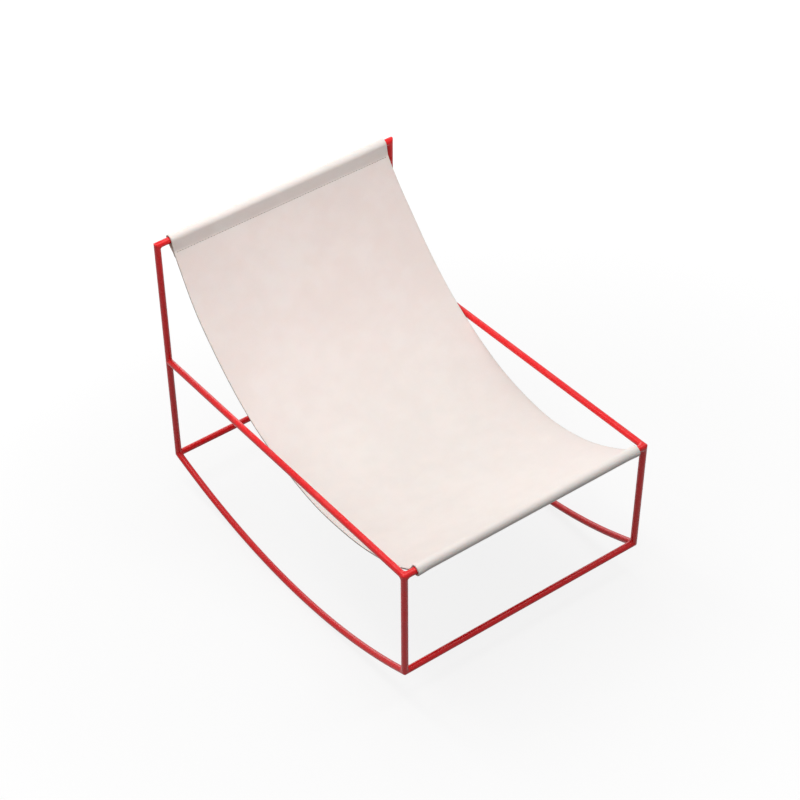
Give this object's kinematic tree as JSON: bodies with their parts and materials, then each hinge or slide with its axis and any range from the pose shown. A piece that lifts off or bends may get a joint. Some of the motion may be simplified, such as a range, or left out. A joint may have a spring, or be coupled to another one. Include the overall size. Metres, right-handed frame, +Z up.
{
  "type": "rocking chaise lounge",
  "caption": "Low rocking lounge: a welded round-bar frame on curved rockers carries a slung leather sheet, sleeved over its top and front bars.",
  "frame": {"origin": "on the floor, below the middle of the chair's bounding box, as it stands at rest on its rockers", "axes": "+X to the sitter's left, +Y to the rear, +Z up"},
  "size_m": [0.615, 1.0192, 0.7581],
  "materials": {
    "frame_lacquer": "glossy",
    "sling_leather": "satin"
  },
  "bodies": {
    "frame": {"left_front_post": "frame_lacquer", "right_front_post": "frame_lacquer", "left_rear_post": "frame_lacquer", "right_rear_post": "frame_lacquer", "left_side_rail": "frame_lacquer", "right_side_rail": "frame_lacquer", "left_rocker": "frame_lacquer", "right_rocker": "frame_lacquer", "top_crossbar": "frame_lacquer", "seat_front_crossbar": "frame_lacquer", "front_floor_crossbar": "frame_lacquer", "rear_floor_crossbar": "frame_lacquer"},
    "sling": {"leather_sling": "sling_leather"}
  },
  "joints": [
    {"name": "sling_slide", "type": "slide", "parent": "frame", "child": "sling", "axis": [1, 0, 0], "range_m": [-0.014, 0.0025]}
  ]
}
